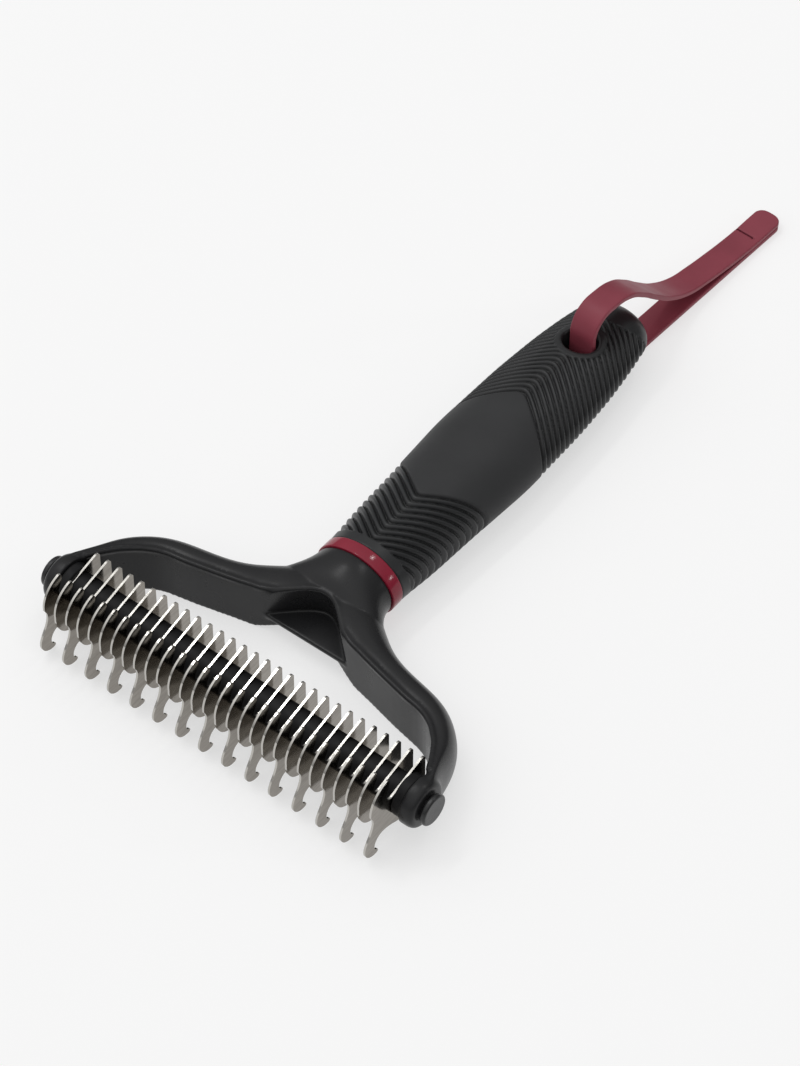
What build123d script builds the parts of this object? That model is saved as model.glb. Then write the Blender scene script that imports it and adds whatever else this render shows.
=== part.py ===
"""Undercoat rake: a bow-shaped yoke holds a pack of thin steel blades on an axle, and its neck
runs into a rubber-covered handle with a wrist strap looped through an eyelet near the butt.

Frame: X along the axle, Y from the blades towards the butt, Z up. The origin is on the flat
underside of the yoke, so the rake rests on Z = 0. Millimetres.
"""

from build123d import *
import os
from math import cos, radians, sin

# --- driving dimensions ---------------------------------------------------------------------
BLADES = 29  # an odd number, so the first and the last both carry a hooked tooth
PITCH = 3.9  # blade to blade along the axle
BLADE_T = 0.6
AXLE_Y = -39.5
AXLE_Z = 13.5
HEX_FLATS = 4.6  # hexagonal axle that keys blades and spacers
HEX_BORE_R = HEX_FLATS / 2 + 0.02  # flats of the hexagonal holes that slide over it
HEX_TIP = 1.6  # the hexagon stops this far inside a boss's outer face
JOURNAL_R = 1.6  # round ends of the axle
SPACER_R = 4.7
END_DISC_R = 6.2
BOSS_R = 7.0
BOSS_IN = 57.9  # inner and outer faces of the yoke's bosses, from the middle
BOSS_OUT = 62.2
BOSS_FACE_R = 5.2  # a boss is rounded from here
BOSS_ROUND_X = 60.0  # to here
CAP_R = 4.6
CAP_T = 1.7
CAP_GAP = 0.6  # dark groove between a boss and its cap
CAP_NECK_R = 3.1

WALL_MID_Y = -8.6  # the yoke's front walls meet here, and run forward towards the bosses
WALL_SLOPE = 0.235
YOKE_H = 16.2
TRIM = 0.4  # the arms are drawn this far below Z = 0 and cut flat there
SHELF_Z = 6.8  # floor of the pocket in the middle of the yoke
SHELF_T = 1.4
SHELF_FRONT_Y = -12.0
SHELF_HALF_X = 17.0
NECK_END_Y = 9.6

GRIP_Z = 10.9  # height of the handle's axis
BAND_L = 4.0  # coloured collar between the yoke and the grip
BAND_FRONT = (12.95, 10.4)  # half width and half height of the collar at its two ends
BAND_BACK = (13.1, 10.5)
GRIP_START_Y = NECK_END_Y + BAND_L
BUTT_Y = 134.4
CORE_INSET = 2.4  # thickness of the rubber over the hard core
EYELET_Y = 111.6
EYELET_HALF_X = 5.2
EYELET_HALF_Y = 4.6
RIM = 2.0
TANG_ROOT_Y = 4.0  # the yoke's tang starts inside the neck and reaches into the handle
TANG_END_Y = 46.0
TANG_HALF_X = 6.0
TANG_HALF_Z = 4.0
PIN_R = 1.5
PIN_Y = 38.0
PIN_HALF = 11.0

STRAP_W = 8.4
STRAP_T = 1.6
STRAP_YAW = 2.8  # degrees that the strap lies off the handle's line
STRAP_X = 0.6
STRAP_L = 90.6  # from the eyelet to the tip
STRAP_TIP_R = 2.8
WELD_L = 12.0  # the two layers are joined over this length at the tip
FLEX_S = 48.5  # the doubled strap flexes here, behind the butt, measured from the eyelet
FLEX_GAP = 8.6
CLEAR = 0.3

# (y, half width, underside, top) of the grip, from the collar to the butt
GRIP_SECTIONS = [
    (GRIP_START_Y, 12.8, 0.7, 21.1),
    (26.0, 14.2, 0.5, 21.3),
    (44.0, 15.0, 0.3, 21.5),
    (66.0, 16.5, 0.0, 21.8),
    (92.0, 15.8, 0.3, 21.7),
    (108.0, 14.6, 1.2, 21.1),
    (120.0, 13.0, 2.7, 20.1),
    (129.0, 10.6, 4.0, 18.5),
    (133.0, 7.8, 5.8, 16.5),
    (BUTT_Y, 4.0, 8.2, 13.9),
]

# (y, half width, half thickness) of the yoke's neck, from inside the arms to the collar
NECK_SECTIONS = [
    (-6.0, 21.0, 4.6),
    (-1.5, 18.4, 7.4),
    (3.0, 14.8, 9.5),
    (7.0, 12.9, 10.2),
    (NECK_END_Y, 12.6, 10.1),
]

# (z, y at the sides, y at the back, half width at the shoulders) of the pocket over the shelf
POCKET_SECTIONS = [
    (SHELF_Z, -16.0, -1.4, 8.6),
    (YOKE_H + 5, -16.2, -3.8, 8.2),
]

# (x, z) of the arch under the shelf, seen from the front
ARCH = [(-21, -1), (-13, 2.0), (-7, 4.7), (0, SHELF_Z - SHELF_T), (7, 4.7), (13, 2.0), (21, -1)]


def blade_plane(x):
    """The plane of a blade: local x runs along Y and local y along Z, from the axle."""
    return Plane(origin=(x, AXLE_Y, AXLE_Z), x_dir=(0, 1, 0), z_dir=(1, 0, 0))


def save(part, name):
    part.label = name
    export_step(part, f"parts/{name}.step")


# --- blades ---------------------------------------------------------------------------------
PRONG_TIP = (-7.6, 12.1)
NOSE = (-13.8, 3.2)
TAIL_Y = 8.4  # upright rear edge of a blade
EDGE_END = (6.9, 6.9)
BELLY_R = 9.2


def blade_back():
    """From the bottom rear of the blade up its rear edge and along the straight top edge, round
    the notch and up to the prong."""
    belly_z = -((BELLY_R**2 - TAIL_Y**2) ** 0.5)
    Line((TAIL_Y, belly_z), (TAIL_Y, 5.4))
    ThreePointArc((TAIL_Y, 5.4), (8.0, 6.6), EDGE_END)
    Line(EDGE_END, (-5.0, 3.85))
    ThreePointArc((-5.0, 3.85), (-6.2, 3.75), (-7.3, 4.4))
    Spline((-7.3, 4.4), (-7.9, 6.6), (-6.7, 9.4), (-6.5, 11.3))
    ThreePointArc((-6.5, 11.3), (-6.8, 12.0), PRONG_TIP)
    ThreePointArc(PRONG_TIP, (-12.0, 9.3), NOSE)
    return belly_z


def hooked_outline():
    belly_z = blade_back()
    Spline(NOSE, (-13.2, -1.6), (-14.7, -4.6), (-16.2, -7.6), (-16.1, -10.3), (-14.6, -12.3), (-12.0, -13.1))
    ThreePointArc((-12.0, -13.1), (-11.1, -12.5), (-11.8, -11.7))
    Spline((-11.8, -11.7), (-12.5, -10.2), (-12.0, -8.3), (-10.6, -7.0), (-8.0, -6.8), (-4.6, -7.97))
    RadiusArc((-4.6, -7.97), (TAIL_Y, belly_z), -BELLY_R)


def short_outline():
    belly_z = blade_back()
    Spline(NOSE, (-13.1, -1.4), (-11.0, -4.4), (-8.2, -6.0), (-4.6, -7.97))
    RadiusArc((-4.6, -7.97), (TAIL_Y, belly_z), -BELLY_R)


def make_blades():
    for index in range(BLADES):
        x = (index - (BLADES - 1) / 2) * PITCH
        hooked = index % 2 == 0
        with BuildPart() as blade:
            with BuildSketch(blade_plane(x - BLADE_T / 2)):
                with BuildLine():
                    if hooked:
                        hooked_outline()
                    else:
                        short_outline()
                make_face()
                RegularPolygon(HEX_BORE_R, 6, major_radius=False, mode=Mode.SUBTRACT)
            extrude(amount=BLADE_T)
        kind = "hook_blade" if hooked else "short_blade"
        save(blade.part, f"{kind}_{index // 2 + 1:02d}")


def make_spacers():
    gap = PITCH - BLADE_T
    with BuildPart() as spacers:
        for index in range(BLADES - 1):
            x = (index - (BLADES - 2) / 2) * PITCH
            with BuildSketch(blade_plane(x - gap / 2)):
                Circle(SPACER_R)
                RegularPolygon(HEX_BORE_R, 6, major_radius=False, mode=Mode.SUBTRACT)
            extrude(amount=gap)
    save(spacers.part, "blade_spacers")


def make_axle():
    half = BOSS_OUT - HEX_TIP
    with BuildPart() as axle:
        with BuildSketch(blade_plane(-half)):
            RegularPolygon(HEX_FLATS / 2, 6, major_radius=False)
        extrude(amount=2 * half)
        with BuildSketch(blade_plane(-BOSS_OUT - 1.2)):
            Circle(JOURNAL_R)
        extrude(amount=2 * BOSS_OUT + 2.4)
    save(axle.part, "axle_rod")


def make_ends():
    """The black discs that clamp the blade pack, and the mushroom caps outside the bosses."""
    pack_half = (BLADES - 1) / 2 * PITCH + BLADE_T / 2
    thick = BOSS_IN - pack_half
    for side, name in ((-1, "left"), (1, "right")):
        with BuildPart() as disc:
            with BuildSketch(blade_plane(side * (pack_half + thick / 2) - thick / 2)):
                Circle(END_DISC_R)
                RegularPolygon(HEX_BORE_R, 6, major_radius=False, mode=Mode.SUBTRACT)
            extrude(amount=thick)
            fillet(disc.edges().filter_by(GeomType.CIRCLE), 0.6)
        save(disc.part, f"end_disc_{name}")
        outward = Plane(origin=(side * BOSS_OUT, AXLE_Y, AXLE_Z), x_dir=(0, 1, 0), z_dir=(side, 0, 0))
        with BuildPart() as cap:
            with BuildSketch(outward):
                Circle(CAP_NECK_R)
            extrude(amount=CAP_GAP)
            with BuildSketch(outward.offset(CAP_GAP)):
                Circle(CAP_R)
            extrude(amount=CAP_T)
            rims = cap.edges().filter_by(GeomType.CIRCLE).filter_by(lambda e: abs(e.radius - CAP_R) < 0.01)
            fillet(rims, 0.6)
            with BuildSketch(outward):
                Circle(JOURNAL_R)
            extrude(amount=1.2, mode=Mode.SUBTRACT)
        save(cap.part, f"end_cap_{name}")


# --- yoke -----------------------------------------------------------------------------------
def wall_y(x):
    return WALL_MID_Y - WALL_SLOPE * x


# Where each section of an arm stands: (front corner x, y), the level direction across the arm,
# its width, its top and its underside.
ARM_SECTIONS = [
    ((0, wall_y(0)), (0, 1), 17.6, 17.0, -TRIM),
    ((12, wall_y(12)), (0, 1), 16.2, 17.2, -TRIM),
    ((24, wall_y(24)), (0, 1), 10.6, YOKE_H, -TRIM),
    ((36, wall_y(36)), (0.12, 1), 9.3, YOKE_H + 0.2, -TRIM),
    ((45, wall_y(45)), (0.45, 1), 8.2, YOKE_H + 0.4, -TRIM),
    ((50.8, -23.4), (1, 0.62), 6.8, 17.2, 0.2),
    ((54.4, -28.4), (1, 0.2), 5.0, 18.2, 2.0),
    ((57.2, -33.6), (1, 0.02), 4.0, 19.2, 5.0),
    ((BOSS_IN + 0.2, -38.0), (1, 0), 3.8, AXLE_Z + 6.2, AXLE_Z - 6.2),
]


def arm_plane(corner, across, underside):
    out = Vector(across[0], across[1], 0).normalized()
    origin = (corner[0], corner[1], underside)
    return Plane(origin=origin, x_dir=out, z_dir=out.cross(Vector(0, 0, 1)))


def arm_outline(width, height):
    """A D shape: flat front wall and underside, rounded ridge and back."""
    flat = width * 0.7
    Line((0, 0.5), (0, height - 1.5))
    ThreePointArc((0, height - 1.5), (0.4, height - 0.5), (1.3, height - 0.1))
    Bezier((1.3, height - 0.1), (width * 0.9, height + 2.6), (width * 1.3, height * 0.5), (flat, 0))
    Line((flat, 0), (0.5, 0))
    ThreePointArc((0.5, 0), (0.15, 0.15), (0, 0.5))


def across_handle(y, z=GRIP_Z):
    """A plane square to the handle: local x runs along X and local y runs down."""
    return Plane(origin=(0, y, z), x_dir=(1, 0, 0), z_dir=(0, 1, 0))


def across_axle(x, y, z):
    return Plane(origin=(x, y, z), x_dir=(0, 1, 0), z_dir=(1, 0, 0))


def arch_outline(side_y, back_y, reach):
    """The pocket seen from above: an arch that is open to the front."""
    shoulder_y = back_y - 5.2
    Spline((-20, side_y), (-reach, shoulder_y), (0, back_y), (reach, shoulder_y), (20, side_y))
    Polyline((20, side_y), (20, -20), (-20, -20), (-20, side_y))


def make_yoke():
    left = [((-x, y), (-out_x, out_y), *rest) for (x, y), (out_x, out_y), *rest in ARM_SECTIONS]
    with BuildPart() as yoke:
        for corner, across, width, top, underside in left[:0:-1] + ARM_SECTIONS:
            with BuildSketch(arm_plane(corner, across, underside)):
                with BuildLine():
                    arm_outline(width, top - underside)
                make_face()
        loft()
        for y, half_x, half_z in NECK_SECTIONS:
            with BuildSketch(across_handle(y)):
                Ellipse(half_x, half_z)
        loft()
        for side in (-1, 1):
            with BuildSketch(Plane(origin=(0, AXLE_Y, AXLE_Z), x_dir=(1, 0, 0), z_dir=(0, -1, 0))):
                with BuildLine():
                    Polyline((side * BOSS_ROUND_X, BOSS_R), (side * BOSS_IN, BOSS_R), (side * BOSS_IN, 0),
                             (side * BOSS_OUT, 0), (side * BOSS_OUT, BOSS_FACE_R))
                    Spline((side * BOSS_OUT, BOSS_FACE_R), (side * BOSS_ROUND_X, BOSS_R),
                           tangents=[(0, 1), (-side, 0)])
                make_face()
            revolve(axis=Axis((0, AXLE_Y, AXLE_Z), (1, 0, 0)))
        for z, side_y, back_y, reach in POCKET_SECTIONS:
            with BuildSketch(Plane.XY.offset(z)):
                with BuildLine():
                    arch_outline(side_y, back_y, reach)
                make_face()
        loft(mode=Mode.SUBTRACT)
        with BuildSketch(Plane.XY.offset(SHELF_Z - SHELF_T)):
            with Locations((0, SHELF_FRONT_Y)):
                Rectangle(2 * SHELF_HALF_X, -2 * SHELF_FRONT_Y / 3, align=(Align.CENTER, Align.MIN))
        extrude(amount=SHELF_T)
        with BuildSketch(across_handle(SHELF_FRONT_Y - 4, 0)):
            with BuildLine():
                Spline([(x, -z) for x, z in ARCH])
                Line((21, 1), (-21, 1))
            make_face()
        extrude(amount=9, mode=Mode.SUBTRACT)
        with BuildSketch(across_handle(TANG_ROOT_Y)):
            Rectangle(2 * TANG_HALF_X, 2 * TANG_HALF_Z)
        extrude(amount=TANG_END_Y - TANG_ROOT_Y)
        with BuildSketch(blade_plane(-BOSS_IN)):
            Circle(END_DISC_R + CLEAR)
        extrude(amount=2 * BOSS_IN, mode=Mode.SUBTRACT)
        with BuildSketch(blade_plane(-BOSS_OUT - 1)):
            Circle(JOURNAL_R)
        extrude(amount=2 * BOSS_OUT + 2, mode=Mode.SUBTRACT)
        with BuildSketch(blade_plane(HEX_TIP - BOSS_OUT)):
            RegularPolygon(HEX_BORE_R, 6, major_radius=False)
        extrude(amount=2 * (BOSS_OUT - HEX_TIP), mode=Mode.SUBTRACT)
        with BuildSketch(across_axle(-20, PIN_Y, GRIP_Z)):
            Circle(PIN_R)
        extrude(amount=40, mode=Mode.SUBTRACT)
        split(bisect_by=Plane.XY, keep=Keep.TOP)
    save(yoke.part, "yoke")


# --- handle ---------------------------------------------------------------------------------
def make_band():
    with BuildPart() as band:
        with BuildSketch(across_handle(NECK_END_Y)):
            Ellipse(*BAND_FRONT)
        with BuildSketch(across_handle(GRIP_START_Y)):
            Ellipse(*BAND_BACK)
        loft()
        with BuildSketch(across_handle(NECK_END_Y)):
            Rectangle(2 * TANG_HALF_X, 2 * TANG_HALF_Z)
        extrude(amount=BAND_L, mode=Mode.SUBTRACT)
    save(band.part, "collar_band")


def make_core():
    with BuildPart() as core:
        for y, half_x, underside, top in GRIP_SECTIONS[:-2]:
            with BuildSketch(across_handle(y, (underside + top) / 2)):
                Ellipse(half_x - CORE_INSET, (top - underside) / 2 - CORE_INSET)
        loft()
        with BuildSketch(across_handle(GRIP_START_Y)):
            Rectangle(2 * TANG_HALF_X, 2 * TANG_HALF_Z)
        extrude(amount=TANG_END_Y - GRIP_START_Y, mode=Mode.SUBTRACT)
        with BuildSketch(Plane.XY.offset(-2)):
            with Locations((0, EYELET_Y)):
                Ellipse(EYELET_HALF_X + RIM, EYELET_HALF_Y + RIM)
        extrude(amount=GRIP_Z * 3, mode=Mode.SUBTRACT)
        with BuildSketch(across_axle(-20, PIN_Y, GRIP_Z)):
            Circle(PIN_R)
        extrude(amount=40, mode=Mode.SUBTRACT)
    save(core.part, "handle_core")
    return core.part


def make_pin():
    with BuildPart() as pin:
        with BuildSketch(across_axle(-PIN_HALF, PIN_Y, GRIP_Z)):
            Circle(PIN_R)
        extrude(amount=2 * PIN_HALF)
    save(pin.part, "tang_pin")
    return pin.part


def make_sleeve(core, pin):
    with BuildPart() as sleeve:
        for y, half_x, underside, top in GRIP_SECTIONS:
            with BuildSketch(across_handle(y, (underside + top) / 2)):
                Ellipse(half_x, (top - underside) / 2)
        loft()
        with BuildSketch(Plane.XY.offset(-2)):
            with Locations((0, EYELET_Y)):
                Ellipse(EYELET_HALF_X, EYELET_HALF_Y)
        extrude(amount=GRIP_Z * 3, mode=Mode.SUBTRACT)
        for z, flare in ((0, 3.0), (5, 0.0)):
            with BuildSketch(Plane.XY.offset(z)):
                with Locations((0, EYELET_Y)):
                    Ellipse(EYELET_HALF_X + flare, EYELET_HALF_Y + flare)
        loft(mode=Mode.SUBTRACT)
        with BuildSketch(across_handle(GRIP_START_Y)):
            Rectangle(2 * TANG_HALF_X, 2 * TANG_HALF_Z)
        extrude(amount=TANG_END_Y - GRIP_START_Y, mode=Mode.SUBTRACT)
        add(core, mode=Mode.SUBTRACT)
        add(pin, mode=Mode.SUBTRACT)
    save(sleeve.part, "grip_sleeve")


# --- strap ----------------------------------------------------------------------------------
def strap_plane():
    """The upright plane along the strap: local x runs back along it and local y is Z."""
    along = Vector(sin(radians(STRAP_YAW)), cos(radians(STRAP_YAW)), 0)
    return Plane(origin=(STRAP_X, EYELET_Y, 0), x_dir=along, z_dir=along.cross(Vector(0, 0, 1)))


def make_strap_anchor():
    """The part that is threaded through the eyelet: from behind the butt along the floor, up
    through the eyelet, over the butt and down again to the same place."""
    half = STRAP_T / 2
    end = FLEX_S - FLEX_GAP / 2
    turn = 7.0  # radius of the bend from the floor up into the eyelet
    with BuildPart() as anchor:
        with BuildSketch(strap_plane()):
            with BuildLine():
                Line((end, half), (turn, half))
                TangentArc((turn, half), (0, turn + half), tangent=(-1, 0))
                Line((0, turn + half), (0, 24))
                over = TangentArc((0, 24), (3.4, 28.44), tangent=(0, 1))
                for point in ((16.4, 27.7), (22.6, 23.5), (36.4, 11.6), (end, 7.2)):
                    over = TangentArc(over @ 1, point, tangent=over % 1)
            trace(line_width=STRAP_T)
        extrude(amount=STRAP_W / 2, both=True)
    save(anchor.part, "strap_anchor")


def make_strap_loop():
    """The joined end of the doubled strap, which swings as one piece."""
    side = strap_plane()
    half = STRAP_T / 2
    start = FLEX_S + FLEX_GAP / 2
    weld = STRAP_L - WELD_L
    upper = 3 * half - 0.05  # pressed a little into the lower layer where they are joined
    tip = side.from_local_coords(Vector(STRAP_L, 0, 0))
    with BuildPart() as loop:
        with BuildSketch(side):
            with BuildLine():
                Spline((start, 5.1), (63, 3.6), (weld, upper), tangents=((1, -0.2), (1, 0)))
                Line((weld, upper), (STRAP_L, upper))
            trace(line_width=STRAP_T)
        extrude(amount=STRAP_W / 2, both=True)
        with BuildSketch(side):
            with Locations(((start + STRAP_L) / 2, half)):
                Rectangle(STRAP_L - start, STRAP_T)
        extrude(amount=STRAP_W / 2, both=True)
        with BuildSketch(Plane(origin=tip, x_dir=side.x_dir)):
            Rectangle(2 * STRAP_TIP_R, 2 * STRAP_W)
            with Locations((-STRAP_W, 0)):
                RectangleRounded(2 * STRAP_W, STRAP_W, STRAP_TIP_R, mode=Mode.SUBTRACT)
        extrude(amount=3 * STRAP_T, mode=Mode.SUBTRACT)
    save(loop.part, "strap_loop")


os.makedirs("parts", exist_ok=True)
make_blades()
make_spacers()
make_axle()
make_ends()
make_yoke()
make_band()
make_sleeve(make_core(), make_pin())
make_strap_anchor()
make_strap_loop()
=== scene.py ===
"""Undercoat rake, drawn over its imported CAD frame.

Sizes and places on the object are in millimetres, and become metres where a mesh is made. The
lights stand in metres.
"""

import math

import bmesh
import bpy
import numpy as np
from mathutils import Matrix, Vector


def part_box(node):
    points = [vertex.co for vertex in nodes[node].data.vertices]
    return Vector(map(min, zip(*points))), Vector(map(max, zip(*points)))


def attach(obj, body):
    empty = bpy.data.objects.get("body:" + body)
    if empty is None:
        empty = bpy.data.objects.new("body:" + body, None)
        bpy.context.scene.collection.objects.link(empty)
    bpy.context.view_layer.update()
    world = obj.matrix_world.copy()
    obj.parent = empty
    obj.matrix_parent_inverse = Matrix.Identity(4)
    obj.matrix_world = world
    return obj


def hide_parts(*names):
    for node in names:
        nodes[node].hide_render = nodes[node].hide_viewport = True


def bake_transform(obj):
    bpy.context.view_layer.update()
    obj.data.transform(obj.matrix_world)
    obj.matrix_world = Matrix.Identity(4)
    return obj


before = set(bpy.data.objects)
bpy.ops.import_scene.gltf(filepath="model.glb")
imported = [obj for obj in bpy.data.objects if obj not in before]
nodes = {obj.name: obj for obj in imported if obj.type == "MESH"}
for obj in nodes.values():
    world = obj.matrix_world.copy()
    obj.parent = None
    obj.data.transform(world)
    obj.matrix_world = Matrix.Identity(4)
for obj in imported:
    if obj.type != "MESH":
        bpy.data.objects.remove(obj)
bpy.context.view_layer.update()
MM = 0.001
FULL_TURN = 2 * math.pi


# --- mesh helpers ---------------------------------------------------------------------------
def new_object(name, points, faces):
    """A smooth-shaded mesh object from points in millimetres."""
    mesh = bpy.data.meshes.new(name)
    mesh.from_pydata((np.asarray(points) * MM).tolist(), [], faces)
    mesh.update()
    mesh.polygons.foreach_set("use_smooth", [True] * len(mesh.polygons))
    obj = bpy.data.objects.new(name, mesh)
    bpy.context.scene.collection.objects.link(obj)
    return obj


def skin(name, rings):
    """A closed skin over rings of equal length, each end closed with one face."""
    rings = np.asarray(rings)
    count, around = rings.shape[:2]
    i = np.arange(count - 1)[:, None] * around
    j = np.arange(around)[None, :]
    k = (j + 1) % around
    faces = np.stack([i + j, i + k, i + around + k, i + around + j], -1).reshape(-1, 4).tolist()
    faces.append(list(range(around))[::-1])
    faces.append([(count - 1) * around + n for n in range(around)])
    return new_object(name, rings.reshape(-1, 3), faces)


def corner_arcs(steps):
    """The four rounded corners of a section, in turn: (side across, side up, cosine, sine)."""
    for across, up, start in ((1, 1, 0), (-1, 1, 90), (-1, -1, 180), (1, -1, 270)):
        for angle in np.radians(np.linspace(start, start + 90, steps)):
            yield across, up, math.cos(angle), math.sin(angle)


def line_mesh(curve):
    """The mesh that a curve gives: its line, or its tube where it has a bevel."""
    holder = bpy.data.objects.new(curve.name, curve)
    mesh = bpy.data.meshes.new_from_object(holder)
    bpy.data.objects.remove(holder)
    return mesh


def smooth_curve(name, points, resolution):
    """A curve in space through points, with automatic handles."""
    curve = bpy.data.curves.new(name, "CURVE")
    curve.dimensions = "3D"
    curve.resolution_u = resolution
    spline = curve.splines.new("BEZIER")
    spline.bezier_points.add(len(points) - 1)
    for target, point in zip(spline.bezier_points, points):
        target.co = point
        target.handle_left_type = target.handle_right_type = "AUTO"
    return curve


def apply_modifiers(obj):
    """Makes a piece's modified shape its own mesh."""
    bpy.context.view_layer.update()
    evaluated = obj.evaluated_get(bpy.context.evaluated_depsgraph_get())
    mesh = bpy.data.meshes.new_from_object(evaluated)
    obj.modifiers.clear()
    obj.data = mesh


def round_edges(obj, width):
    """Rounds a CAD node's sharp edges with a modifier; width is in millimetres."""
    edge = obj.modifiers.new("round_edges", "BEVEL")
    edge.width = width * MM
    edge.segments = 2
    edge.limit_method = "ANGLE"
    edge.angle_limit = math.radians(50)
    edge.harden_normals = True


def set_materials(obj, *materials):
    obj.data.materials.clear()
    for material in materials:
        obj.data.materials.append(material)


# --- materials ------------------------------------------------------------------------------
def start_material(name, **inputs):
    """A new material with its shader's inputs set; underscores stand for spaces in their names."""
    material = bpy.data.materials.new(name)
    material.use_nodes = True
    tree = material.node_tree
    shader = tree.nodes["Principled BSDF"]
    for key, value in inputs.items():
        shader.inputs[key.replace("_", " ")].default_value = value
    coords = tree.nodes.new("ShaderNodeTexCoord")
    return material, tree, shader, coords.outputs["Object"]


def noise(tree, coords, scale, detail=3.0, stretch=None):
    """Noise at a scale per millimetre, drawn out along an axis where stretch is given."""
    node = tree.nodes.new("ShaderNodeTexNoise")
    node.inputs["Scale"].default_value = scale / MM
    node.inputs["Detail"].default_value = detail
    if stretch:
        mapping = tree.nodes.new("ShaderNodeMapping")
        mapping.inputs["Scale"].default_value = stretch
        tree.links.new(coords, mapping.inputs["Vector"])
        coords = mapping.outputs["Vector"]
    tree.links.new(coords, node.inputs["Vector"])
    return node.outputs["Fac"]


def remap(tree, value, from_low, from_high, to_low, to_high):
    node = tree.nodes.new("ShaderNodeMapRange")
    node.inputs["From Min"].default_value = from_low
    node.inputs["From Max"].default_value = from_high
    node.inputs["To Min"].default_value = to_low
    node.inputs["To Max"].default_value = to_high
    tree.links.new(value, node.inputs["Value"])
    return node.outputs["Result"]


def roughen(tree, shader, value, low, high):
    """Roughness that varies with noise between two values."""
    rough = remap(tree, value, 0.25, 0.75, low, high)
    tree.links.new(rough, shader.inputs["Roughness"])


def tint(tree, shader, value, dark, light):
    """A colour that varies with noise between two colours."""
    node = tree.nodes.new("ShaderNodeValToRGB")
    node.color_ramp.elements[0].position = 0.3
    node.color_ramp.elements[1].position = 0.7
    node.color_ramp.elements[0].color = (*dark, 1)
    node.color_ramp.elements[1].color = (*light, 1)
    tree.links.new(value, node.inputs["Fac"])
    tree.links.new(node.outputs["Color"], shader.inputs["Base Color"])


def overlay(tree, shader, factor, colour):
    """Blends a colour over the one that the shader has, by a factor from 0 to 1."""
    base = shader.inputs["Base Color"].links[0].from_socket
    mix = tree.nodes.new("ShaderNodeMix")
    mix.data_type = "RGBA"
    under, over = [socket for socket in mix.inputs if socket.type == "RGBA"]
    over.default_value = (*colour, 1)
    tree.links.new(base, under)
    tree.links.new(factor, mix.inputs[0])
    result = next(socket for socket in mix.outputs if socket.type == "RGBA")
    tree.links.new(result, shader.inputs["Base Color"])


def bump(tree, shader, value, strength, depth):
    """A fine grain in the surface; depth is in millimetres."""
    node = tree.nodes.new("ShaderNodeBump")
    node.inputs["Strength"].default_value = strength
    node.inputs["Distance"].default_value = depth * MM
    tree.links.new(value, node.inputs["Height"])
    tree.links.new(node.outputs["Normal"], shader.inputs["Normal"])


def yoke_plastic():
    material, tree, shader, coords = start_material("black_plastic", Specular_IOR_Level=0.22)
    tint(tree, shader, noise(tree, coords, 0.06), (0.0140, 0.0140, 0.0150), (0.0195, 0.0195, 0.0205))
    roughen(tree, shader, noise(tree, coords, 0.09, detail=4.0), 0.24, 0.34)
    bump(tree, shader, noise(tree, coords, 1.6, detail=2.0), strength=0.12, depth=0.03)
    return material


def cap_plastic():
    material, tree, shader, coords = start_material("cap_plastic", Specular_IOR_Level=0.4)
    tint(tree, shader, noise(tree, coords, 0.2), (0.011, 0.011, 0.012), (0.017, 0.017, 0.018))
    roughen(tree, shader, noise(tree, coords, 0.3, detail=4.0), 0.22, 0.34)
    bump(tree, shader, noise(tree, coords, 2.2, detail=2.0), strength=0.12, depth=0.03)
    return material


def washer_plastic():
    material, tree, shader, coords = start_material("washer_plastic", Specular_IOR_Level=0.12)
    tint(tree, shader, noise(tree, coords, 0.3), (0.008, 0.008, 0.0085), (0.014, 0.014, 0.0145))
    roughen(tree, shader, noise(tree, coords, 0.5), 0.34, 0.5)
    bump(tree, shader, noise(tree, coords, 3.0, detail=2.0), strength=0.15, depth=0.03)
    return material


def collar_gloss():
    material, tree, shader, coords = start_material("collar_gloss", Specular_IOR_Level=0.28)
    tint(tree, shader, noise(tree, coords, 0.1), (0.215, 0.013, 0.030), (0.255, 0.018, 0.038))
    roughen(tree, shader, noise(tree, coords, 0.2), 0.10, 0.15)
    bump(tree, shader, noise(tree, coords, 0.9, detail=2.0), strength=0.06, depth=0.03)
    return material


def grip_rubber(name, dark, light, rough_low, rough_high, specular):
    """Rubber with a fine grain, with painted shade that darkens it down in its grooves."""
    material, tree, shader, coords = start_material(name, Specular_IOR_Level=specular)
    tint(tree, shader, noise(tree, coords, 0.05), dark, light)
    painted_groove_shade = tree.nodes.new("ShaderNodeAttribute")
    painted_groove_shade.attribute_name = "painted_groove_shade"
    # Painted shade: the rubber is blended towards near black the deeper a point sits in a groove.
    overlay(tree, shader, painted_groove_shade.outputs["Fac"], (0.0015, 0.0015, 0.0018))
    roughen(tree, shader, noise(tree, coords, 0.15, detail=4.0), rough_low, rough_high)
    bump(tree, shader, noise(tree, coords, 4.0), strength=0.25, depth=0.03)
    return material


def strap_rubber():
    material, tree, shader, coords = start_material("strap_rubber", Specular_IOR_Level=0.25)
    tint(tree, shader, noise(tree, coords, 0.08), (0.215, 0.038, 0.056), (0.255, 0.047, 0.068))
    roughen(tree, shader, noise(tree, coords, 0.2, detail=4.0), 0.42, 0.52)
    bump(tree, shader, noise(tree, coords, 5.0), strength=0.2, depth=0.02)
    return material


def crease_shade_rubber():
    """The strap's rubber in the crease where its two layers are joined, darker there with painted shade.
    """
    material, tree, shader, coords = start_material(
        "crease_shade_rubber", Roughness=0.6, Specular_IOR_Level=0.1)
    tint(tree, shader, noise(tree, coords, 1.5), (0.055, 0.006, 0.012), (0.12, 0.014, 0.026))
    bump(tree, shader, noise(tree, coords, 6.0, detail=2.0), strength=0.3, depth=0.04)
    return material


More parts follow.
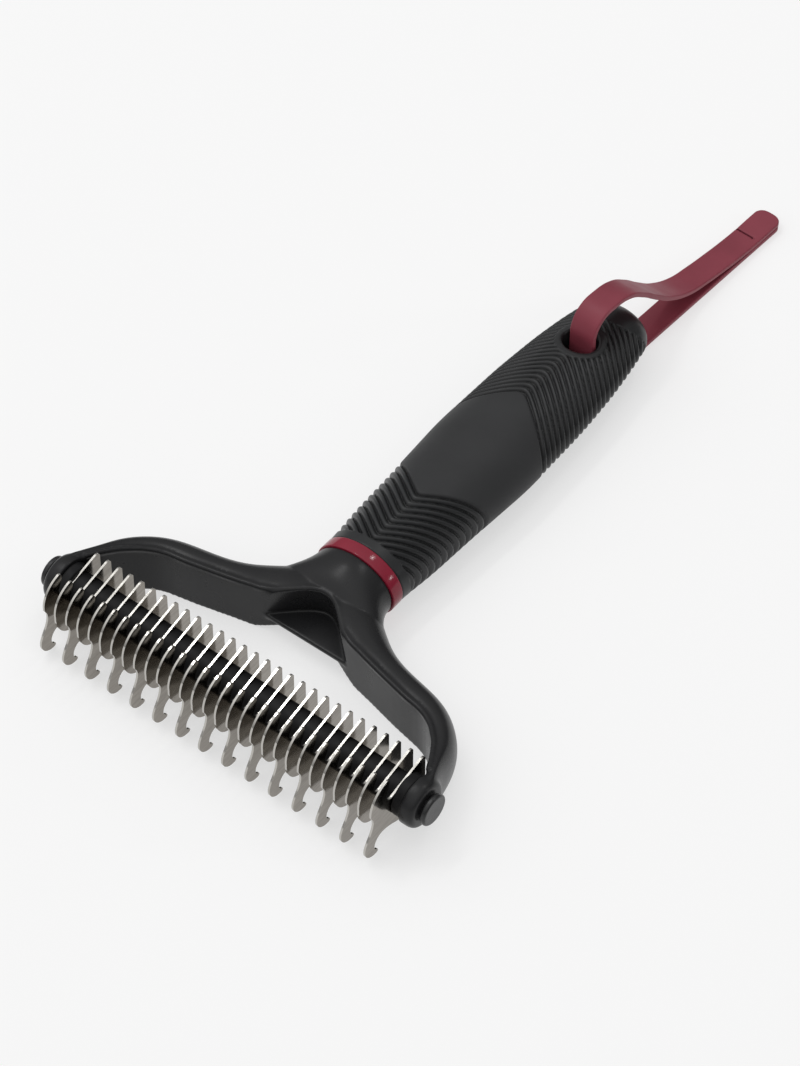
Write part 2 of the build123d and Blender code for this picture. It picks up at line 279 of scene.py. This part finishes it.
def blade_steel():
    """Blade steel with painted light: painted shade keeps its flat sides, which face along X, darker, and
    a painted highlight makes its cut edges bright.
    """
    material, tree, shader, coords = start_material("polished_steel", Metallic=1.0)
    fine = noise(tree, coords, 1.1, stretch=(1.0, 0.12, 1.0))
    tint(tree, shader, fine, (0.25, 0.230, 0.203), (0.32, 0.298, 0.266))
    surface = tree.nodes.new("ShaderNodeTexCoord")
    size = tree.nodes.new("ShaderNodeVectorMath")
    size.operation = "ABSOLUTE"
    tree.links.new(surface.outputs["Normal"], size.inputs[0])
    facing = tree.nodes.new("ShaderNodeSeparateXYZ")
    tree.links.new(size.outputs["Vector"], facing.inputs["Vector"])
    # Painted highlight on the cut edges, whose normals lie across X; the flat sides keep the darker tint
    # as painted shade.
    edge = remap(tree, facing.outputs["X"], 0.9, 0.6, 0.0, 1.0)
    overlay(tree, shader, edge, (0.49, 0.475, 0.445))
    roughen(tree, shader, noise(tree, coords, 0.5, detail=4.0), 0.09, 0.17)
    bump(tree, shader, fine, strength=0.03, depth=0.02)
    return material


def drawn_steel():
    """Steel rod with fine lines along X, the way it was drawn."""
    material, tree, shader, coords = start_material("drawn_steel", Metallic=1.0)
    lines = noise(tree, coords, 3.0, stretch=(0.04, 1.0, 1.0))
    tint(tree, shader, lines, (0.42, 0.42, 0.43), (0.55, 0.55, 0.56))
    roughen(tree, shader, lines, 0.25, 0.4)
    bump(tree, shader, lines, strength=0.1, depth=0.02)
    return material


# --- yoke -----------------------------------------------------------------------------------
# The bead along the front edge of the right arm's top, from the middle out to the boss.
BEAD = [
    (0, -2.5, 16.9), (4.6, -4.0, 16.8), (8.8, -7.5, 16.6), (13.6, -10.9, 16.4), (19, -12.3, 16.0),
    (24, -13.5, 15.8), (36, -16.3, 15.9), (45, -18.4, 16.1), (51.3, -23.2, 16.9), (54.9, -28.2, 17.8),
    (57.7, -33.4, 18.7),
]
BEAD_R = 0.9
YOKE_VOXEL = 0.36  # the moulding is remeshed at this size
YOKE_SMOOTHINGS = 6  # and then smoothed this many times


def bead_mesh():
    points = [(-x, y, z) for x, y, z in BEAD[:0:-1]] + BEAD
    curve = smooth_curve("bead", [Vector(point) * MM for point in points], resolution=12)
    curve.bevel_depth = BEAD_R * MM
    curve.bevel_resolution = 4
    curve.use_fill_caps = True
    return line_mesh(curve)


def make_yoke(material):
    """The CAD yoke with the bead along its front edge, and its hard edges softened as moulded
    plastic's are."""
    both = bmesh.new()
    both.from_mesh(nodes["yoke"].data)
    both.from_mesh(bead_mesh())
    mesh = bpy.data.meshes.new("yoke_moulding")
    both.to_mesh(mesh)
    both.free()
    piece = bpy.data.objects.new("yoke_moulding", mesh)
    bpy.context.scene.collection.objects.link(piece)
    remesh = piece.modifiers.new("remesh", "REMESH")
    remesh.mode = "VOXEL"
    remesh.voxel_size = YOKE_VOXEL * MM
    smooth = piece.modifiers.new("smooth", "SMOOTH")
    smooth.factor = 0.5
    smooth.iterations = YOKE_SMOOTHINGS
    apply_modifiers(piece)
    piece.data.polygons.foreach_set("use_smooth", [True] * len(piece.data.polygons))
    set_materials(piece, material)
    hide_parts("yoke")
    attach(piece, "rake")


# --- collar ---------------------------------------------------------------------------------
COLLAR_DEPTH = 2.4  # from its outer face in
COLLAR_EDGE_R = 0.35
COLLAR_AROUND = 240


def make_collar(material):
    """The coloured band: a ring with rounded edges round the end of the neck."""
    low, high = (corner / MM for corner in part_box("collar_band"))
    half_x, half_y, half_z = (high - low) / 2
    middle_y, middle_z = (high.y + low.y) / 2, (high.z + low.z) / 2
    profile = []
    for side_y, side_out, cosine, sine in corner_arcs(7):
        middle_in = COLLAR_EDGE_R if side_out > 0 else COLLAR_DEPTH - COLLAR_EDGE_R
        y = side_y * (half_y - COLLAR_EDGE_R) + COLLAR_EDGE_R * cosine
        profile.append((y, middle_in - COLLAR_EDGE_R * sine))
    around = np.linspace(0, FULL_TURN, COLLAR_AROUND, endpoint=False)
    count = len(profile)
    points = [((half_x - inset) * math.sin(a), middle_y + y, middle_z + (half_z - inset) * math.cos(a))
              for a in around for y, inset in profile]
    faces = []
    for i in range(len(around)):
        this, after = i * count, (i + 1) % len(around) * count
        for j in range(count):
            k = (j + 1) % count
            faces.append((this + j, this + k, after + k, after + j))
    piece = new_object("collar", points, faces)
    set_materials(piece, material)
    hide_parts("collar_band")
    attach(piece, "rake")


# --- grip -----------------------------------------------------------------------------------
grip_low, grip_high = (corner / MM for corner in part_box("grip_sleeve"))
START_Y = grip_low.y
BUTT_Y = grip_high.y
GRIP_STATIONS = np.array([  # (y, half width, underside, top)
    (START_Y, 12.8, 0.7, 21.1),
    (26.0, 14.2, 0.5, 21.3),
    (44.0, 15.0, 0.3, 21.5),
    (66.0, 16.4, 0.05, 21.8),
    (92.0, 15.8, 0.3, 21.7),
    (108.0, 14.6, 1.2, 21.1),
    (120.0, 13.0, 2.7, 20.1),
    (129.0, 11.3, 3.9, 18.7),
    (BUTT_Y, 10.2, 4.6, 17.6),
])
STATION_REACH = 4.5  # the corners at the stations are averaged away over this far each way
GRIP_AROUND = 288
GRIP_STEP = 0.25
BUTT_L = 9.0  # finer steps over this last length
BUTT_CLOSE = 10.5  # the outline closes over this length
BUTT_SQUARE = 3.6  # and is this square: 2 would be an ellipse
LIP_L = 0.5  # the front edge is rounded over this length
LIP_IN = 0.45  # and stands in this far

EYELET_Y = 111.2
EYELET_HALF = (5.1, 5.0)
EYELET_AROUND = 96
BELOW_GRIP, ABOVE_GRIP = -5, 30
EYELET_ROLL = 1.3  # the rim rolls over into the eyelet's wall with this radius
RIM_HALF = (7.3, 7.6)  # smooth rim round the eyelet

GROOVE_DEPTH = 1.35
RIB_ROUND = 0.62  # 1 would make the grooves and ribs alike; less makes the ribs broad and round
LOWER_PITCH = 2.45
UPPER_PITCH = 2.2
CUFF_L = 3.2  # smooth cuff next to the collar
MARGIN_Y = 122.9  # smooth margin at the butt, whose edge bows
MARGIN_BOW = 0.034
GROOVE_FADE = 0.25  # the grooves run out over this length
SHADE_GAIN = 1.6  # how fast the painted shade darkens the rubber with a groove's depth, which runs from 0 to 1
SHADE_OFFSET = 0.2  # taken off, so that the ribs' crests keep their colour


def soft_interp(y, column):
    """Station values with their corners rounded, by averaging over a stretch of the grip."""
    reach = np.linspace(-STATION_REACH, STATION_REACH, 13)
    values = [np.interp(y + r, GRIP_STATIONS[:, 0], GRIP_STATIONS[:, column]) for r in reach]
    return np.mean(values, 0)


def groove(distance, pitch):
    """Depth of a row of grooves between round ribs, from 0 on a crest to 1 in a groove. distance is
    how far past the first groove a point lies; half a groove leads into it from the other side."""
    phase = np.maximum(distance / pitch, -0.5)
    return 1 - np.abs(np.sin(np.pi * phase)) ** RIB_ROUND


def chevron(x, tip_y, slope, tip_r):
    """The y of a V-shaped line across the grip, with its tip rounded."""
    return tip_y + slope * (np.sqrt(x**2 + tip_r**2) - tip_r)


def panel_edges(x):
    """Where the smooth panel ends: towards the head, and towards the butt."""
    return chevron(x, 36.8, 0.76, 1.1), chevron(x, 84.4, -0.79, 1.4)


def rib_depth(x, y):
    """Both rib fields: chevrons pointing at the head below the smooth panel, and chevrons
    pointing at the butt above it."""
    lower_line, upper_line = panel_edges(x)
    lower = groove(lower_line - y, LOWER_PITCH)
    upper = groove(y - upper_line, UPPER_PITCH)
    cuff = np.clip((y - (START_Y + CUFF_L)) / GROOVE_FADE, 0, 1)
    margin = np.clip((MARGIN_Y + MARGIN_BOW * x**2 - y) / GROOVE_FADE, 0, 1)
    around_eyelet = np.hypot(x / RIM_HALF[0], (y - EYELET_Y) / RIM_HALF[1]) - 1
    rim = np.clip(around_eyelet * RIM_HALF[0] / GROOVE_FADE, 0, 1)
    return GROOVE_DEPTH * np.maximum(lower * cuff, upper * margin * rim)


def grip_rings():
    """The grip's outside as rings round it, ribbed, and rolled in round the eyelet."""
    steps = np.concatenate([
        np.arange(START_Y, BUTT_Y - BUTT_L, GRIP_STEP),
        BUTT_Y - BUTT_L * (1 - np.sin(np.linspace(0, math.pi / 2, 40))),
    ])
    angle = np.linspace(0, FULL_TURN, GRIP_AROUND, endpoint=False)
    y = steps[:, None] + 0 * angle
    end = np.clip((steps - (BUTT_Y - BUTT_CLOSE)) / BUTT_CLOSE, 0, 1)
    close = np.sqrt(np.maximum(1 - end**BUTT_SQUARE, 0.0004))
    lip = np.clip((steps - START_Y) / LIP_L, 0, 1)
    lip_in = LIP_IN * (1 - np.sqrt(1 - (1 - lip) ** 2))
    half_x = (soft_interp(steps, 1) * close - lip_in)[:, None]
    low, high = soft_interp(steps, 2), soft_interp(steps, 3)
    half_z = ((high - low) / 2 * close - lip_in)[:, None]
    middle = ((high + low) / 2)[:, None]
    x = half_x * np.sin(angle)
    z = middle + half_z * np.cos(angle)
    normal = np.stack([np.sin(angle) / half_x, np.cos(angle) / half_z])
    normal /= np.linalg.norm(normal, axis=0)
    depth = rib_depth(x, y)
    x, z = x - normal[0] * depth, z - normal[1] * depth
    ring = np.hypot(x / EYELET_HALF[0], (y - EYELET_Y) / EYELET_HALF[1]) - 1
    inside = np.clip(1 - ring * EYELET_HALF[0] / EYELET_ROLL, 0, 1)
    sink = EYELET_ROLL * (1 - np.sqrt(1 - inside**2))
    z = z - np.where(np.abs(ring) < 2, sink * np.sign(z - middle), 0)
    return np.stack([x, y, z], -1)


def cut_eyelet(piece):
    """Cuts the eyelet right through the grip, from below it to above it."""
    cutter = skin("eyelet_cutter", [
        [(EYELET_HALF[0] * math.sin(a), EYELET_Y - EYELET_HALF[1] * math.cos(a), height)
         for a in np.linspace(0, FULL_TURN, EYELET_AROUND, endpoint=False)]
        for height in (BELOW_GRIP, ABOVE_GRIP)
    ])
    cut = piece.modifiers.new("eyelet", "BOOLEAN")
    cut.object = cutter
    cut.operation = "DIFFERENCE"
    cut.solver = "EXACT"
    apply_modifiers(piece)
    bpy.data.objects.remove(cutter)


def make_grip(ribbed, smooth):
    """The rubber grip, with the smooth panel's faces in their own material."""
    piece = skin("grip", grip_rings())
    cut_eyelet(piece)
    set_materials(piece, ribbed, smooth)
    centre = np.array([face.center[:2] for face in piece.data.polygons]) / MM
    first, last = panel_edges(centre[:, 0])
    on_panel = (centre[:, 1] > first) & (centre[:, 1] < last)
    piece.data.polygons.foreach_set("material_index", on_panel.astype(int))
    # Painted shade for the grooves, kept on the points: the deeper the groove, the darker the rubber.
    spots = np.array([vertex.co for vertex in piece.data.vertices]) / MM
    depth = rib_depth(spots[:, 0], spots[:, 1]) / GROOVE_DEPTH
    shade = np.clip(depth * SHADE_GAIN - SHADE_OFFSET, 0, 1)
    piece.data.attributes.new("painted_groove_shade", "FLOAT", "POINT").data.foreach_set("value", shade)
    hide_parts("grip_sleeve")
    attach(piece, "rake")


# --- strap ----------------------------------------------------------------------------------
STRAP_W = 8.4
STRAP_T = 1.6
STRAP_EDGE_R = 0.42
STRAP_TIP_R = 2.8
STRAP_YAW = math.radians(2.8)
STRAP_START = (0.6, 111.6)
STRAP_L = 90.6
STRAP_STEP = 0.2
WELD_LINE = 78.9  # a crease pressed across the strap where its two layers are joined
WELD_END = 1.9  # the crease stops here across the strap, in a dimple
CREASE_DEPTH = 0.5
CREASE_HALF = 0.34
CREASE_FADE = 0.3  # the crease runs out over this width
DIMPLE_DEPTH = 0.6
DIMPLE_R = 0.5

LYING_Z = STRAP_T / 2 + 0.02  # middle of the lower layer, which lies on the floor
# (along, height) of the strap's middle: from the tip back to the eyelet, down through it, and
# along the floor to the tip again.
COURSE = [
    (STRAP_L, 2.5), (84, 2.45), (78.6, 2.36), (71, 2.75), (63, 3.6), (54, 4.9), (46.4, 6.5), (36.4, 11.6),
    (29.4, 17.3), (22.6, 23.5), (16.4, 27.7), (9.5, 29.2), (3.6, 28.4), (0.4, 24.5), (0, 19), (0, 12),
    (0.5, 6.0), (2.3, 2.6), (5.5, 1.1), (10, LYING_Z), (20, LYING_Z), (35, LYING_Z), (50, LYING_Z),
    (70, LYING_Z), (80, LYING_Z), (STRAP_L, LYING_Z),
]


def weld_mark(along, across):
    """Depth of the crease and of its dimple in the strap's upper face."""
    past = along - WELD_LINE
    crease = CREASE_DEPTH * np.exp(-(past / CREASE_HALF) ** 2)
    crease = crease * np.clip((WELD_END - across) / CREASE_FADE, 0, 1)
    dimple = DIMPLE_DEPTH * np.exp(-(past**2 + (across - WELD_END) ** 2) / DIMPLE_R**2)
    return np.maximum(crease, dimple)


def strap_point(along, across, height):
    """A point of the strap: along it from the eyelet, across it, and above the floor."""
    s, c = math.sin(STRAP_YAW), math.cos(STRAP_YAW)
    return (STRAP_START[0] + along * s + across * c, STRAP_START[1] + along * c - across * s, height)


def strap_place(points):
    """The other way round: where points lie across the strap, along it and above the floor."""
    s, c = math.sin(STRAP_YAW), math.cos(STRAP_YAW)
    x, y = points[:, 0] - STRAP_START[0], points[:, 1] - STRAP_START[1]
    return x * c - y * s, x * s + y * c, points[:, 2]


def smooth_path(points, step):
    """Points along a smooth curve through the given ones, step apart, and how far along each is."""
    curve = smooth_curve("path", [(along, height, 0) for along, height in points], resolution=40)
    dense = np.array([vertex.co[:2] for vertex in line_mesh(curve).vertices])
    run = np.concatenate([[0], np.cumsum(np.linalg.norm(np.diff(dense, axis=0), axis=1))])
    even = np.arange(0, run[-1], step)
    return np.stack([np.interp(even, run, dense[:, i]) for i in (0, 1)], -1), even


def strap_section():
    """The strap's section: (share of the half width, further across, up from the middle)."""
    flat = STRAP_T / 2 - STRAP_EDGE_R
    corners = [(side, STRAP_EDGE_R * cosine, up * flat + STRAP_EDGE_R * sine)
               for side, up, cosine, sine in corner_arcs(6)]
    widths = np.linspace(1, -1, 41)[1:-1]
    upper = [(width, 0.0, STRAP_T / 2) for width in widths]
    under = [(-width, 0.0, -STRAP_T / 2) for width in widths]
    return corners[:6] + upper + corners[6:18] + under + corners[18:]


def strap_half_width(run):
    """Half the strap's width along its run, rounded off at both ends."""
    from_end = np.minimum(run, run[-1] - run)
    reach = np.maximum(STRAP_TIP_R - from_end, 0)
    narrow = STRAP_TIP_R - np.sqrt(np.maximum(STRAP_TIP_R**2 - reach**2, 0))
    return np.maximum(STRAP_W / 2 - narrow, STRAP_W / 2 - STRAP_TIP_R + 0.02)


def make_strap(material, crease_shade_material):
    line, run = smooth_path(COURSE, STRAP_STEP)
    tangent = np.gradient(line, axis=0)
    tangent /= np.linalg.norm(tangent, axis=1)[:, None]
    outward = np.stack([-tangent[:, 1], tangent[:, 0]], -1)
    section = strap_section()
    rings = []
    for (along, height), (out_s, out_z), half in zip(line, outward, strap_half_width(run)):
        in_upper_layer = height > STRAP_T / 2 + 0.5
        ring = []
        for share, further, up in section:
            across = share * (half - STRAP_EDGE_R) + further
            if in_upper_layer and up > STRAP_EDGE_R:
                up = up - weld_mark(along, across)
            ring.append(strap_point(along - out_s * up, across, height - out_z * up))
        rings.append(ring)
    piece = skin("strap", rings)
    set_materials(piece, material, crease_shade_material)
    across, along, height = strap_place(np.array([face.center for face in piece.data.polygons]) / MM)
    # The crease's faces take the darker rubber: painted shade down in the crease.
    in_crease = (np.abs(along - WELD_LINE) < 0.3) & (across < WELD_END) & (height > STRAP_T + 0.6)
    piece.data.polygons.foreach_set("material_index", in_crease.astype(int))
    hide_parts("strap_anchor", "strap_loop")
    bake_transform(piece)


# --- CAD nodes that stay as they are ----------------------------------------------------------
BLADE_EDGE_R = 0.2


def finish_cad_nodes(plastic):
    """Materials for the nodes that show their own CAD shape."""
    caps, washers, blades, rods = cap_plastic(), washer_plastic(), blade_steel(), drawn_steel()
    for name, node in nodes.items():
        if "_blade_" in name:
            set_materials(node, blades)
            round_edges(node, BLADE_EDGE_R)
        elif name in ("axle_rod", "tang_pin"):
            set_materials(node, rods)
        elif name in ("blade_spacers", "end_disc_left", "end_disc_right"):
            set_materials(node, washers)
        elif name.startswith("end_cap"):
            set_materials(node, caps)
        elif name == "handle_core":
            set_materials(node, plastic)


# --- light, floor and camera ------------------------------------------------------------------
FLOOR_HALF = 4000


def area_light(name, place, target, size, power):
    light = bpy.data.lights.new(name, "AREA")
    light.shape = "RECTANGLE"
    light.size, light.size_y = size
    light.energy = power
    obj = bpy.data.objects.new(name, light)
    obj.location = place
    obj.rotation_euler = (Vector(target) - Vector(place)).to_track_quat("-Z", "Y").to_euler()
    bpy.context.scene.collection.objects.link(obj)


def make_floor():
    """Pale paper that the rake lies on."""
    corners = [(x * FLOOR_HALF, y * FLOOR_HALF, 0) for x, y in ((-1, -1), (1, -1), (1, 1), (-1, 1))]
    floor = new_object("floor", corners, [(0, 1, 2, 3)])
    paper = start_material(
        "floor_paper", Roughness=0.9, Base_Color=(0.40, 0.40, 0.40, 1), Emission_Color=(1, 1, 1, 1),
        Emission_Strength=0.58, Specular_IOR_Level=0.0)[0]
    set_materials(floor, paper)


def make_lights():
    area_light("strip_overhead", (-0.52, 0.03, 1.19), (0, 0, 0.02), size=(0.6, 0.07), power=1.6)
    area_light("softbox_back", (0.03, 0.70, 1.13), (0, 0.012, 0.02), size=(0.11, 0.08), power=0.6)
    area_light("softbox_right", (1.03, 0.69, 0.49), (0, 0.012, 0.02), size=(0.08, 0.11), power=0.5)


def make_sky():
    """A studio's dome: bright overhead and a little to the front left, darker towards the back."""
    world = bpy.data.worlds.new("studio")
    bpy.context.scene.world = world
    world.use_nodes = True
    tree = world.node_tree
    coords = tree.nodes.new("ShaderNodeTexCoord")
    toward = tree.nodes.new("ShaderNodeVectorMath")
    toward.operation = "DOT_PRODUCT"
    toward.inputs[1].default_value = Vector((-0.25, -0.22, 0.92)).normalized()
    tree.links.new(coords.outputs["Generated"], toward.inputs[0])
    rise = remap(tree, toward.outputs["Value"], -0.2, 0.95, 0.0, 1.0)
    square = tree.nodes.new("ShaderNodeMath")
    square.operation = "MULTIPLY"
    tree.links.new(rise, square.inputs[0])
    tree.links.new(rise, square.inputs[1])
    level = tree.nodes.new("ShaderNodeMath")
    level.operation = "MULTIPLY_ADD"
    level.inputs[1].default_value = 1.05
    level.inputs[2].default_value = 0.15
    tree.links.new(square.outputs["Value"], level.inputs[0])
    background = tree.nodes["Background"]
    tree.links.new(level.outputs["Value"], background.inputs["Strength"])
    background.inputs["Color"].default_value = (1, 1, 1, 1)


def make_camera():
    """The photograph's viewing angle, on a long lens."""
    azimuth, elevation, roll = 0.655443, 0.858885, 0.0076555
    target = Vector((-0.7, 29.9, 11.0)) * MM
    distance = 0.951
    level = math.cos(elevation)
    back = Vector((math.sin(azimuth) * level, -math.cos(azimuth) * level, math.sin(elevation)))
    right = Vector((math.cos(azimuth), math.sin(azimuth), 0))
    up = back.cross(right)
    right, up = (math.cos(roll) * right + math.sin(roll) * up,
                 math.cos(roll) * up - math.sin(roll) * right)
    camera = bpy.data.cameras.new("camera")
    camera.sensor_fit = "VERTICAL"
    camera.sensor_height = 36
    camera.lens = 118.79
    camera.clip_start = 0.01
    obj = bpy.data.objects.new("camera", camera)
    turn = Matrix((right, up, back)).transposed().to_4x4()
    obj.matrix_world = Matrix.Translation(target + back * distance) @ turn
    bpy.context.scene.collection.objects.link(obj)
    bpy.context.scene.camera = obj


# --- put together -----------------------------------------------------------------------------
black = yoke_plastic()
make_yoke(black)
make_collar(collar_gloss())
make_grip(
    ribbed=grip_rubber(
        "grip_rubber", dark=(0.0130, 0.0136, 0.0147), light=(0.0175, 0.0183, 0.0195),
        rough_low=0.33, rough_high=0.43, specular=0.36),
    smooth=grip_rubber(
        "panel_rubber", dark=(0.0255, 0.0258, 0.0270), light=(0.0310, 0.0315, 0.0330),
        rough_low=0.5, rough_high=0.6, specular=0.27),
)
make_strap(strap_rubber(), crease_shade_rubber())
finish_cad_nodes(black)
make_floor()
make_sky()
make_lights()
make_camera()
bpy.context.scene.view_settings.view_transform = "Standard"
